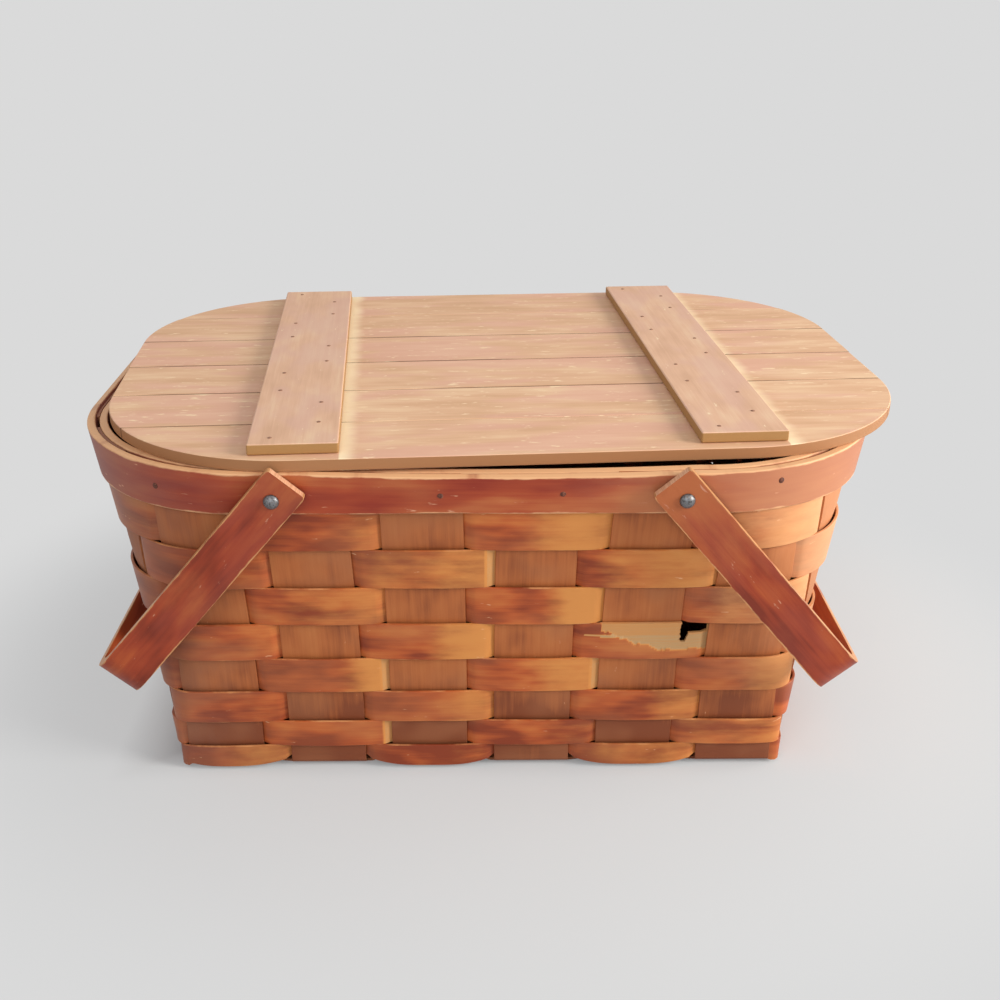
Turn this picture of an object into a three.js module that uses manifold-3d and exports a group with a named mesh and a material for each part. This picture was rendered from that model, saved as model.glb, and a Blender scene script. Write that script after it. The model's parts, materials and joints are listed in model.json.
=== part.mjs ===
// A picnic basket of flat wood splints with a loose plank lid and two swing handles.
// Units are millimetres and +Z is up. The front is on -Y and the length runs along X.

import * as THREE from "three";
import * as BufferGeometryUtils from "three/addons/utils/BufferGeometryUtils.js";
import Module from "manifold-3d";

// Gaps between pieces
const seatGap = 0.3; // between two pieces that touch
const pinGap = 0.3; // round a nail or a rivet in its hole
const rowGap = 0.8; // between one weaver and the next
const swingGap = 1; // between the cross bar of a swinging handle and the lid
const armGap = 0.5; // between a handle arm and the rim
const edgeMargin = 1; // how far a base splint runs level past the one it crosses
const overrun = 2; // how far a cutting tool runs past the piece it cuts

// Splints
const stakeWidth = 47;
const stakeThickness = 1.8;
const weaverThickness = 1.6;
const crossPitch = 64; // along X, between the splints that run front to back
const longPitch = 63; // along Y, between the splints that run end to end
const crossCount = 6;
const longCount = 5;
const stakeDip = 1; // how far the stakes stop below the top of the rim

// Heights
const wallFoot = 8;
const rowEdges = [wallFoot, 18, 37, 60, 84.5, 110, 136, 162, 188];
const rimHeight = 26;

// Base weave
const bendRadius = 2.9;
const bendSteps = 2;

// Wall outline, taken at the middle of the stakes
const footRadius = 5;
const rimOuterHalfLength = 243;
const rimOuterHalfWidth = 187;
const rimOuterRadius = 118;
const endFlareShare = 1.5; // above one, the wall leans out more near the rim
const sideFlareShare = 1.2;

// Rim hoops
const hoopThickness = 5;

// Lid
const lidEndOver = 2.5; // past the rim at each end, before it is shifted and turned
const lidSideSet = 10.5; // inside the rim along the front and back
const lidThickness = 7;
const lidEase = 0.9;
const lidShift = 12; // the lid lies a little to the right
const lidTurn = 4; // degrees, its left end towards the front
const plankCount = 6;
const grooveDepth = 1.1;

// Battens
const battenWidth = 50.5;
const battenThickness = 6.5;
const battenOffset = 127;
const battenInset = 7.5;
const battenEase = 1.2;

// Handles
const pivotAside = 14.1; // outwards from the middle of the splint that carries the pivot
const pivotDrop = 14; // below the top of the rim
const stripThickness = 5.5;
const stripWidth = 26;
const tailLength = 13.5;
const tailRadius = 4;
const bendOuterRadius = 18;

// Fasteners
const rivetShankRadius = 2.5;
const rivetHeadRadius = 4.4;
const rivetHeadHeight = 2.8;
const rivetClinchRadius = 3.9;
const rivetClinchHeight = 1.6;
const nailShankRadius = 1.1;
const nailHeadRadius = 2.3;
const nailHeadHeight = 0.9;
const nailSpread = [13, 12]; // along X and along Y, from the middle of a plank

// Shares that shape the fasteners
const nailShoulderShare = 0.72;
const clinchShare = 0.7;
const domeShares = [
  [1, 0],
  [0.9, 0.5],
  [0.55, 0.88],
  [0, 1],
];

// Facets
const cornerSteps = 3;
const holeSides = 12;
const nailSides = 6;
const lidCornerSteps = 8;
const handleBendSteps = 5;

// Torn corner of the fourth weaver from the top, at the gap between the fifth and
// sixth splints: shares of the gap's width, then of the row's height
const tornRow = 4;
const tearShares = [
  [0.06, 1.08],
  [1.03, 1.08],
  [0.91, 0.65],
  [0.59, 0.47],
  [0.2, 0.53],
];
const tearReach = 30;
const hangStep = 0.0005; // radians, for finding where the handles hang

const wasm = await Module();
wasm.setup();

const halfStake = stakeThickness / 2;
const weaverOffset = halfStake + seatGap + weaverThickness / 2;
const weaveOut = weaverOffset + weaverThickness / 2;
const hoopNear = halfStake + seatGap;
const hoopFar = hoopNear + hoopThickness;
const quarter = Math.PI / 2;

// Sizes that follow from those above
const rowCount = rowEdges.length - 1;
const rimBottom = rowEdges[rowCount];
const rimTop = rimBottom + rimHeight;
const stakeTop = rimTop - stakeDip;
const lidHalfLength = rimOuterHalfLength + lidEndOver;
const lidHalfWidth = rimOuterHalfWidth - lidSideSet;
const lidRadius = rimOuterRadius;
const lidAngle = THREE.MathUtils.degToRad(lidTurn);
const lidStraightAlong = (lidHalfLength - lidRadius) * Math.cos(lidAngle);
const lidStraightAcross = (lidHalfWidth - lidRadius) * Math.sin(lidAngle);
const lidRightEnd = lidShift + lidRadius + lidStraightAlong + lidStraightAcross;
const lidBottom = rimTop + seatGap;
const lidTop = lidBottom + lidThickness;
const battenBottom = lidTop + seatGap;
const battenTop = battenBottom + battenThickness;
const plankPitch = (2 * lidHalfWidth) / plankCount;

// Wood and metal colours
function paint(color, roughness, metalness = 0) {
  return new THREE.MeshStandardMaterial({ color, roughness, metalness });
}

const stakeWood = paint(0x7a5540, 0.72);
const weaverWood = paint(0x8a4f33, 0.6);
const rimWood = paint(0x7d3f2b, 0.55);
const handleWood = paint(0x6e2a20, 0.5);
const lidWood = paint(0xcbb196, 0.75);
const battenWood = paint(0xb39a82, 0.78);
const darkSteel = paint(0x3c3733, 0.5, 0.8);

function mix(a, b, share) {
  return a + (b - a) * share;
}

// Geometry helpers. A strip is a row of sections; each section is an outer row
// of points and an inner row of points. A hoop joins its last section to its first.

function solidFrom(positions, triangles) {
  let volume = 0;
  for (const [a, b, c] of triangles) {
    const cross = new THREE.Vector3().crossVectors(positions[b], positions[c]);
    volume += positions[a].dot(cross);
  }
  const flat = [];
  for (const point of positions) {
    flat.push(point.x, point.y, point.z);
  }
  const index = [];
  for (const [a, b, c] of triangles) {
    if (volume > 0) {
      index.push(a, b, c);
    } else {
      index.push(a, c, b);
    }
  }
  const geometry = new THREE.BufferGeometry();
  geometry.setAttribute("position", new THREE.Float32BufferAttribute(flat, 3));
  geometry.setIndex(index);
  return geometry;
}

function joinRings(rings, isHoop) {
  const size = rings[0].length;
  const positions = rings.flat();
  const triangles = [];
  const last = isHoop ? rings.length : rings.length - 1;
  for (let i = 0; i < last; i += 1) {
    const here = i * size;
    const next = ((i + 1) % rings.length) * size;
    for (let j = 0; j < size; j += 1) {
      const k = (j + 1) % size;
      triangles.push([here + j, here + k, next + k]);
      triangles.push([here + j, next + k, next + j]);
    }
  }
  if (!isHoop) {
    const end = (rings.length - 1) * size;
    for (let j = 0; j < size / 2 - 1; j += 1) {
      const far = size - 1 - j;
      triangles.push([j, far - 1, j + 1], [j, far, far - 1]);
      triangles.push([end + j, end + j + 1, end + far - 1]);
      triangles.push([end + j, end + far - 1, end + far]);
    }
  }
  return solidFrom(positions, triangles);
}

function toManifold(geometry) {
  const bare = geometry.clone();
  bare.deleteAttribute("normal");
  bare.deleteAttribute("uv");
  const merged = BufferGeometryUtils.mergeVertices(bare);
  const vertProperties = new Float32Array(merged.attributes.position.array);
  const triVerts = new Uint32Array(merged.index.array);
  return new wasm.Manifold(new wasm.Mesh({ numProp: 3, vertProperties, triVerts }));
}

function toGeometry(manifold) {
  const mesh = manifold.getMesh();
  const geometry = new THREE.BufferGeometry();
  const position = new THREE.BufferAttribute(mesh.vertProperties, 3);
  geometry.setAttribute("position", position);
  geometry.setIndex(new THREE.BufferAttribute(mesh.triVerts, 1));
  return geometry;
}

function cutAway(geometry, tools) {
  let body = toManifold(geometry);
  for (const tool of tools) {
    body = body.subtract(toManifold(tool));
  }
  return toGeometry(body);
}

// Wall outline: a rounded rectangle at each height, walked by distance from the
// middle of the front towards +X and on round the basket

const middleOfRim = hoopFar;
const footHalfLength = (crossPitch * (crossCount - 1) + stakeWidth) / 2 + footRadius;
const footHalfWidth = (longPitch * (longCount - 1) + stakeWidth) / 2 + footRadius;

function levelAt(height) {
  const rise = (height - wallFoot) / (rimTop - wallFoot);
  const endShare = Math.pow(rise, endFlareShare);
  const sideShare = Math.pow(rise, sideFlareShare);
  const halfLength = mix(footHalfLength, rimOuterHalfLength - middleOfRim, endShare);
  const halfWidth = mix(footHalfWidth, rimOuterHalfWidth - middleOfRim, sideShare);
  const radius = mix(footRadius, rimOuterRadius - middleOfRim, endShare);
  const frontRun = 2 * (halfLength - radius);
  const endRun = 2 * (halfWidth - radius);
  const cornerRun = quarter * radius;
  const halfRound = frontRun + endRun + 2 * cornerRun;
  return { height, rise, halfLength, halfWidth, radius, frontRun, endRun, cornerRun, halfRound };
}

const levels = [...rowEdges, rimTop].map(levelAt);

function outlineAt(level, distance) {
  const { halfLength, halfWidth, radius, frontRun, endRun, cornerRun, halfRound } = level;
  const start = distance + frontRun / 2;
  const turn = Math.floor(start / halfRound);
  const run = start - turn * halfRound;
  const side = turn % 2 === 0 ? 1 : -1;
  let x = 0;
  let y = 0;
  let angle = 0;
  if (run <= frontRun) {
    x = run - frontRun / 2;
    y = -halfWidth;
    angle = -quarter;
  } else if (run <= frontRun + cornerRun) {
    angle = -quarter + (run - frontRun) / radius;
    x = halfLength - radius + radius * Math.cos(angle);
    y = radius - halfWidth + radius * Math.sin(angle);
  } else if (run <= frontRun + cornerRun + endRun) {
    x = halfLength;
    y = run - frontRun - cornerRun - endRun / 2;
  } else {
    angle = (run - frontRun - cornerRun - endRun) / radius;
    x = halfLength - radius + radius * Math.cos(angle);
    y = halfWidth - radius + radius * Math.sin(angle);
  }
  return {
    x: side * x,
    y: side * y,
    outX: side * Math.cos(angle),
    outY: side * Math.sin(angle),
  };
}

const halfStakes = crossCount + longCount;
const stakeTotal = 2 * halfStakes;

// The splints fan out from their places in the base until they are evenly spaced at the rim
function stakeDistance(level, stake) {
  const turn = Math.floor(stake / halfStakes);
  const local = stake - turn * halfStakes;
  const evenPitch = level.halfRound / halfStakes;
  const start = turn * level.halfRound;
  if (local < crossCount) {
    const step = local - (crossCount - 1) / 2;
    return start + step * mix(crossPitch, evenPitch, level.rise);
  }
  const step = local - crossCount - (longCount - 1) / 2;
  return start + level.halfRound / 2 + step * mix(longPitch, evenPitch, level.rise);
}

// A point of the wall at a height, for a place given at every level
function wallPoint(placeAt, offset, height) {
  let upper = 1;
  while (upper < levels.length - 1 && height > levels[upper].height) {
    upper += 1;
  }
  const low = levels[upper - 1];
  const high = levels[upper];
  const share = (height - low.height) / (high.height - low.height);
  const a = outlineAt(low, placeAt(low));
  const b = outlineAt(high, placeAt(high));
  return new THREE.Vector3(
    mix(a.x + a.outX * offset, b.x + b.outX * offset, share),
    mix(a.y + a.outY * offset, b.y + b.outY * offset, share),
    height,
  );
}

function wallHalfLength(height) {
  const middle = (level) => level.halfRound / 2;
  return wallPoint(middle, 0, height).x;
}

// The handles turn on the second splint from each end, and their cross bars swing
// clear of the right end of the lid
const pivotZ = rimTop - pivotDrop;
const pivotStake = wallPoint((level) => stakeDistance(level, crossCount - 2), 0, pivotZ);
const pivotX = pivotStake.x + pivotAside;
const armOuterY = rimOuterHalfWidth + armGap + stripThickness;
const lidCornerReach = Math.hypot(lidRightEnd - pivotX, lidTop - pivotZ);
const armLength = lidCornerReach + swingGap + stripThickness; // pivot to the bar's outer face

// How finely each stake is divided across its width: only the bent ones need it
function stakeShares(stake) {
  const local = stake % halfStakes;
  const nearCorner = [0, crossCount - 1, crossCount, halfStakes - 1].includes(local);
  if (nearCorner) {
    return [-0.5, -0.25, 0, 0.25, 0.5];
  }
  const isEnd = local >= crossCount;
  const isMiddle = local === crossCount + (longCount - 1) / 2;
  return isEnd && !isMiddle ? [-0.5, 0, 0.5] : [-0.5, 0.5];
}

// Stations round the basket for weavers and hoops
function makeStations() {
  const stations = [];
  for (let stake = 0; stake < stakeTotal; stake += 1) {
    for (const share of stakeShares(stake)) {
      const shift = share * stakeWidth;
      const placeAt = (level) => stakeDistance(level, stake) + shift;
      stations.push({ placeAt, stake, ahead: 0 });
    }
    const local = stake % halfStakes;
    const isCorner = local === crossCount - 1 || local === halfStakes - 1;
    const reach = stakeWidth / 2;
    for (let step = 1; isCorner && step < cornerSteps; step += 1) {
      const ahead = step / cornerSteps;
      const placeAt = (level) => {
        const from = stakeDistance(level, stake) + reach;
        const to = stakeDistance(level, stake + 1) - reach;
        return mix(from, to, ahead);
      };
      stations.push({ placeAt, stake, ahead });
    }
  }
  return stations;
}

const stations = makeStations();

// A weaver passes outside one stake and inside the next
function makeWeaver(row) {
  const low = rowEdges[row] + rowGap / 2;
  const high = rowEdges[row + 1] - rowGap / 2;
  const rowFromTop = rowEdges.length - 1 - row;
  const rings = stations.map(({ placeAt, stake, ahead }) => {
    const side = (rowFromTop + stake) % 2 === 0 ? 1 : -1;
    const middle = side * weaverOffset * Math.cos(Math.PI * ahead);
    const out = middle + weaverThickness / 2;
    const back = middle - weaverThickness / 2;
    return [
      wallPoint(placeAt, out, low),
      wallPoint(placeAt, out, high),
      wallPoint(placeAt, back, high),
      wallPoint(placeAt, back, low),
    ];
  });
  return joinRings(rings, true);
}

function makeHoop(side) {
  const profile = [
    [hoopNear, rimBottom],
    [hoopFar, rimBottom],
    [hoopFar, rimTop],
    [hoopNear, rimTop],
  ];
  if (side < 0) {
    profile.reverse(); // so both hoops fold along the same diagonals as the stakes
  }
  const rings = stations.map(({ placeAt }) =>
    profile.map(([offset, height]) => wallPoint(placeAt, side * offset, height)),
  );
  return joinRings(rings, true);
}

// Stakes: one splint runs down one wall, across the base and up the other wall

function stakeRing(outer, inner) {
  return [...outer, ...inner.reverse()];
}

function wallRing(stake, height, shares) {
  const row = (offset) =>
    shares.map((share) => {
      const placeAt = (level) => stakeDistance(level, stake) + share * stakeWidth;
      return wallPoint(placeAt, offset, height);
    });
  return stakeRing(row(halfStake), row(-halfStake));
}

const underHeight = halfStake;
const crossHeight = underHeight + stakeThickness + seatGap;
const overHeight = crossHeight + stakeThickness + seatGap;

// One ring of a splint at the base. The splint runs along "run" and lies across "across".
function baseRing(centre, outward, across, shares) {
  const row = (offset) =>
    shares.map((share) => {
      const point = centre.clone().addScaledVector(outward, offset);
      return point.addScaledVector(across, share * stakeWidth);
    });
  return stakeRing(row(halfStake), row(-halfStake));
}

function bendRings(foot, height, run, across, shares) {
  const rings = [];
  const up = new THREE.Vector3(0, 0, 1);
  for (let step = 0; step <= bendSteps; step += 1) {
    const angle = (quarter * step) / bendSteps;
    const outward = run.clone().multiplyScalar(-Math.cos(angle));
    outward.addScaledVector(up, -Math.sin(angle));
    const centre = foot.clone().addScaledVector(run, bendRadius);
    centre.z = height + bendRadius;
    centre.addScaledVector(outward, bendRadius);
    rings.push(baseRing(centre, outward, across, shares));
  }
  return rings;
}

const wallHeights = [...rowEdges, stakeTop];

function makeCrossStake(number) {
  const shares = stakeShares(number);
  const back = crossCount + halfStakes - 1 - number;
  const x = (number - (crossCount - 1) / 2) * crossPitch;
  const across = new THREE.Vector3(1, 0, 0);
  const inFromFront = new THREE.Vector3(0, 1, 0);
  const inFromBack = new THREE.Vector3(0, -1, 0);
  const frontFoot = new THREE.Vector3(x, -footHalfWidth, 0);
  const backFoot = new THREE.Vector3(x, footHalfWidth, 0);
  const turned = [...shares].reverse();
  const down = wallHeights.toReversed().map((height) => wallRing(number, height, shares));
  const first = bendRings(frontFoot, crossHeight, inFromFront, across, shares);
  const second = bendRings(backFoot, crossHeight, inFromBack, across, shares);
  const up = wallHeights.map((height) => wallRing(back, height, turned));
  return joinRings([...down, ...first, ...second.reverse(), ...up], false);
}

function makeLongStake(number) {
  const right = crossCount + number;
  const left = stakeTotal - 1 - number;
  const shares = stakeShares(right);
  const turned = [...shares].reverse();
  const y = (number - (longCount - 1) / 2) * longPitch;
  const across = new THREE.Vector3(0, 1, 0);
  const inFromRight = new THREE.Vector3(-1, 0, 0);
  const inFromLeft = new THREE.Vector3(1, 0, 0);
  const below = new THREE.Vector3(0, 0, -1);
  const heightOver = (crossing) => ((crossing + number) % 2 === 0 ? overHeight : underHeight);
  const rightFoot = new THREE.Vector3(footHalfLength, y, 0);
  const leftFoot = new THREE.Vector3(-footHalfLength, y, 0);
  const rings = wallHeights.toReversed().map((height) => wallRing(right, height, shares));
  rings.push(...bendRings(rightFoot, heightOver(crossCount - 1), inFromRight, across, shares));
  for (let crossing = crossCount - 1; crossing >= 0; crossing -= 1) {
    const middle = (crossing - (crossCount - 1) / 2) * crossPitch;
    for (const side of [1, -1]) {
      const isEdge = (crossing === crossCount - 1 && side > 0) || (crossing === 0 && side < 0);
      const x = middle + side * (stakeWidth / 2 + edgeMargin);
      const centre = new THREE.Vector3(x, y, heightOver(crossing));
      if (!isEdge) {
        rings.push(baseRing(centre, below, across, shares));
      }
    }
  }
  rings.push(...bendRings(leftFoot, heightOver(0), inFromLeft, across, shares).reverse());
  rings.push(...wallHeights.map((height) => wallRing(left, height, turned)));
  return joinRings(rings, false);
}

// Pins: a nail or a rivet is turned about its own axis, head outwards along +Y

function turnedPin(profile, sides) {
  const points = profile.map(([radius, along]) => new THREE.Vector2(radius, along));
  return new THREE.LatheGeometry(points, sides);
}

function bareRod(radius, from, to, sides) {
  const wide = radius / Math.cos(Math.PI / sides);
  return turnedPin([[0, from], [wide, from], [wide, to], [0, to]], sides);
}

// Places a pin so that its +Y axis points along "outward" from "point"
function placePin(geometry, point, outward) {
  const up = new THREE.Vector3(0, 1, 0);
  const turn = new THREE.Quaternion().setFromUnitVectors(up, outward);
  const placed = geometry.clone();
  placed.applyQuaternion(turn);
  placed.translate(point.x, point.y, point.z);
  return placed;
}

function makeNail(length) {
  const shoulder = nailHeadRadius * nailShoulderShare;
  const profile = [
    [0, -length],
    [nailShankRadius, -length],
    [nailShankRadius, seatGap],
    [nailHeadRadius, seatGap],
    [shoulder, seatGap + nailHeadHeight],
    [0, seatGap + nailHeadHeight],
  ];
  return turnedPin(profile, nailSides);
}

// One long drill through front and back at each pivot
const pivotDrills = [-pivotX, pivotX].map((x) => {
  const reach = armOuterY + rivetHeadHeight;
  const drill = bareRod(rivetShankRadius + pinGap, -reach, reach, holeSides);
  drill.translate(x, 0, pivotZ);
  return drill;
});

// Rivets: the dome is outside the handle arm and the clinched end is inside the rim
function makeRivet() {
  const rimInner = wallPoint(() => pivotX, -hoopFar, pivotZ - rivetClinchRadius);
  const clinchStart = -rimInner.y - seatGap;
  const headStart = armOuterY + seatGap;
  const profile = [
    [0, clinchStart - rivetClinchHeight],
    [rivetClinchRadius * clinchShare, clinchStart - rivetClinchHeight],
    [rivetClinchRadius, clinchStart],
    [rivetShankRadius, clinchStart],
    [rivetShankRadius, headStart],
  ];
  for (const [out, along] of domeShares) {
    profile.push([rivetHeadRadius * out, headStart + rivetHeadHeight * along]);
  }
  return turnedPin(profile, holeSides);
}

// Lid, drawn about its own middle and then turned and shifted on the rim
const lidPlace = new THREE.Matrix4().makeRotationZ(lidAngle).setPosition(lidShift, 0, 0);

function roundedShape(halfLength, halfWidth, radius) {
  const shape = new THREE.Shape();
  const x = halfLength - radius;
  const y = halfWidth - radius;
  shape.absarc(x, -y, radius, -quarter, 0, false);
  shape.absarc(x, y, radius, 0, quarter, false);
  shape.absarc(-x, y, radius, quarter, 2 * quarter, false);
  shape.absarc(-x, -y, radius, 2 * quarter, 3 * quarter, false);
  return shape;
}

function makeLidBlank() {
  const inset = lidHalfLength - lidEase;
  const shape = roundedShape(inset, lidHalfWidth - lidEase, lidRadius - lidEase);
  const blank = new THREE.ExtrudeGeometry(shape, {
    depth: lidThickness - 2 * lidEase,
    bevelSize: lidEase,
    bevelThickness: lidEase,
    bevelSegments: 1,
    curveSegments: lidCornerSteps,
  });
  blank.translate(0, 0, lidBottom + lidEase);
  return toManifold(blank);
}

// Section of one plank, as Y and Z, with a shallow groove along each seam
function makePlankProfile(number) {
  const from = number * plankPitch - lidHalfWidth + seatGap / 2;
  const to = from + plankPitch - seatGap;
  const isFirst = number === 0;
  const isLast = number === plankCount - 1;
  const start = isFirst ? from - overrun : from;
  const end = isLast ? to + overrun : to;
  const startEase = isFirst ? 0 : grooveDepth;
  const endEase = isLast ? 0 : grooveDepth;
  const top = lidTop + overrun;
  const below = lidBottom - overrun;
  const points = [
    [start, below],
    [end, below],
    [end, lidTop - endEase],
    [end - endEase, lidTop],
    [end - endEase, top],
    [start + startEase, top],
    [start + startEase, lidTop],
    [start, lidTop - startEase],
  ];
  return new THREE.Shape(points.map(([y, z]) => new THREE.Vector2(y, z)));
}

// Turns a shape drawn in Y and Z so that its depth runs along X
const alongX = new THREE.Matrix4().makeBasis(
  new THREE.Vector3(0, 1, 0),
  new THREE.Vector3(0, 0, 1),
  new THREE.Vector3(1, 0, 0),
);

function makePlank(number, blank, drills) {
  const length = 2 * (lidHalfLength + overrun);
  const settings = { depth: length, bevelEnabled: false };
  const bar = new THREE.ExtrudeGeometry(makePlankProfile(number), settings);
  bar.applyMatrix4(alongX);
  bar.translate(-length / 2, 0, 0);
  return cutAway(toGeometry(blank.intersect(toManifold(bar))), drills);
}

function makeBatten(x, drills) {
  const halfLong = lidHalfWidth - battenInset - battenEase;
  const halfWide = battenWidth / 2 - battenEase;
  const shape = new THREE.Shape();
  shape.moveTo(-halfWide, -halfLong);
  shape.lineTo(halfWide, -halfLong);
  shape.lineTo(halfWide, halfLong);
  shape.lineTo(-halfWide, halfLong);
  const batten = new THREE.ExtrudeGeometry(shape, {
    depth: battenThickness - 2 * battenEase,
    bevelSize: battenEase,
    bevelThickness: battenEase,
    bevelSegments: 1,
  });
  batten.translate(x, 0, battenBottom + battenEase);
  return cutAway(batten, drills);
}

function battenNailSpots(x) {
  const [asideX, asideY] = nailSpread;
  const spots = [];
  for (let plank = 0; plank < plankCount; plank += 1) {
    const middle = (plank + 0.5) * plankPitch - lidHalfWidth;
    const lean = plank % 2 === 0 ? 1 : -1;
    for (const side of [-1, 1]) {
      const point = new THREE.Vector3(x + side * asideX, middle + side * lean * asideY, battenTop);
      spots.push({ point, plank });
    }
  }
  return spots;
}

// Handles: a bent strip, drawn hanging straight down from its pivot

function makeHandle() {
  const innerY = armOuterY - stripThickness;
  const innerRadius = bendOuterRadius - stripThickness;
  const bendY = armOuterY - bendOuterRadius;
  const bendZ = bendOuterRadius - armLength;
  const shape = new THREE.Shape();
  shape.moveTo(-armOuterY, tailLength);
  shape.lineTo(-innerY, tailLength);
  shape.absarc(-bendY, bendZ, innerRadius, -2 * quarter, -quarter, false);
  shape.absarc(bendY, bendZ, innerRadius, -quarter, 0, false);
  shape.lineTo(innerY, tailLength);
  shape.lineTo(armOuterY, tailLength);
  shape.absarc(bendY, bendZ, bendOuterRadius, 0, -quarter, true);
  shape.absarc(-bendY, bendZ, bendOuterRadius, -quarter, -2 * quarter, true);
  const settings = { depth: stripWidth, bevelEnabled: false, curveSegments: handleBendSteps };
  const strip = new THREE.ExtrudeGeometry(shape, settings);
  strip.applyMatrix4(alongX);
  strip.translate(-stripWidth / 2, 0, 0);
  const reach = armOuterY + overrun;
  const keepSettings = { ...settings, depth: 2 * reach };
  const keep = new THREE.ExtrudeGeometry(makeTailShape(), keepSettings);
  keep.rotateX(quarter);
  keep.translate(0, reach, 0);
  const drill = bareRod(rivetShankRadius + pinGap, -reach, reach, holeSides);
  const body = toManifold(strip).intersect(toManifold(keep)).subtract(toManifold(drill));
  return toGeometry(body);
}

// Outline of the strip face, as X and Z, with its tail corners rounded
function makeTailShape() {
  const half = stripWidth / 2;
  const below = -armLength - overrun;
  const x = half - tailRadius;
  const z = tailLength - tailRadius;
  const shape = new THREE.Shape();
  shape.moveTo(-half, below);
  shape.lineTo(half, below);
  shape.absarc(x, z, tailRadius, 0, quarter, false);
  shape.absarc(-x, z, tailRadius, quarter, 2 * quarter, false);
  return shape;
}

// The handle hangs where the inner corner of its cross bar meets the end wall
function findHangAngle() {
  const reach = armLength - stripThickness;
  const half = stripWidth / 2;
  let angle = 0;
  for (let clear = false; !clear; angle += hangStep) {
    clear = [reach, armLength].every((arm) => {
      const x = pivotX + arm * Math.sin(angle) - half * Math.cos(angle);
      const z = pivotZ - arm * Math.cos(angle) - half * Math.sin(angle);
      return x > wallHalfLength(z) + weaveOut + seatGap;
    });
  }
  return angle;
}

const hangAngle = findHangAngle();

// Assembly

const basket = new THREE.Group();
basket.name = "picnic_basket";

function addPiece(name, geometry, material) {
  const mesh = new THREE.Mesh(geometry, material);
  mesh.name = name;
  basket.add(mesh);
  return mesh;
}

for (let number = 0; number < crossCount; number += 1) {
  const stake = cutAway(makeCrossStake(number), pivotDrills);
  addPiece(`cross_stake_${number + 1}`, stake, stakeWood);
}

for (let number = 0; number < longCount; number += 1) {
  addPiece(`long_stake_${number + 1}`, makeLongStake(number), stakeWood);
}

function makeTearTool() {
  const gapStart = (crossCount / 2 - 1.5) * crossPitch + stakeWidth / 2;
  const gapWidth = crossPitch - stakeWidth;
  const low = rowEdges[rowCount - tornRow];
  const high = rowEdges[rowCount - tornRow + 1];
  const points = tearShares.map(([across, up]) => {
    return new THREE.Vector2(gapStart + across * gapWidth, mix(low, high, up));
  });
  const shape = new THREE.Shape(points);
  const tool = new THREE.ExtrudeGeometry(shape, { depth: tearReach, bevelEnabled: false });
  tool.rotateX(quarter);
  tool.translate(0, tearReach / 2 - footHalfWidth - hoopFar, 0);
  return tool;
}

for (let number = 1; number <= rowCount; number += 1) {
  const weaver = makeWeaver(rowCount - number);
  const geometry = number === tornRow ? cutAway(weaver, [makeTearTool()]) : weaver;
  addPiece(`weaver_${number}`, geometry, weaverWood);
}

addPiece("rim_outer_hoop", cutAway(makeHoop(1), pivotDrills), rimWood);
addPiece("rim_inner_hoop", cutAway(makeHoop(-1), pivotDrills), rimWood);

const sides = [
  ["left", -1],
  ["right", 1],
];
const ends = [
  ["front", -1],
  ["back", 1],
];

for (const [sideName, side] of sides) {
  for (const [endName, end] of ends) {
    const rivet = addPiece(`${sideName}_${endName}_rivet`, makeRivet(), darkSteel);
    rivet.position.set(side * pivotX, 0, pivotZ);
    rivet.rotation.set(0, 0, end > 0 ? 0 : Math.PI);
  }
}

for (const [sideName, side] of sides) {
  const handle = addPiece(`${sideName}_handle`, makeHandle(), handleWood);
  handle.position.set(side * pivotX, 0, pivotZ);
  handle.rotation.set(0, -side * hangAngle, 0);
}

const battenNails = sides.map(([sideName, side]) => {
  const x = side * battenOffset;
  return { sideName, x, spots: battenNailSpots(x) };
});
const battenNailLength = battenTop - lidBottom - seatGap;

function drillAt(spot) {
  const radius = nailShankRadius + pinGap;
  const drill = bareRod(radius, -battenNailLength - overrun, overrun, nailSides);
  return placePin(drill, spot.point, new THREE.Vector3(0, 0, 1));
}

const lidBlank = makeLidBlank();
for (let number = 0; number < plankCount; number += 1) {
  const drills = battenNails
    .flatMap((row) => row.spots)
    .filter((spot) => spot.plank === number)
    .map(drillAt);
  const plank = addPiece(`lid_plank_${number + 1}`, makePlank(number, lidBlank, drills), lidWood);
  plank.applyMatrix4(lidPlace);
}

for (const { sideName, x, spots } of battenNails) {
  const batten = addPiece(`${sideName}_batten`, makeBatten(x, spots.map(drillAt)), battenWood);
  batten.applyMatrix4(lidPlace);
  spots.forEach((spot, index) => {
    const nail = addPiece(`${sideName}_batten_nail_${index + 1}`, makeNail(battenNailLength), darkSteel);
    nail.position.copy(spot.point);
    nail.rotation.set(quarter, 0, 0);
    nail.applyMatrix4(lidPlace);
  });
}

// The frame is centred on the whole object, lid overhang included
basket.position.x = (rimOuterHalfLength - lidRightEnd) / 2;

const part = new THREE.Group();
part.name = "part";
part.add(basket);

export default part;
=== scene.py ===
import json
import math

import bmesh
import bpy
from mathutils import Matrix, Vector, noise


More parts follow.
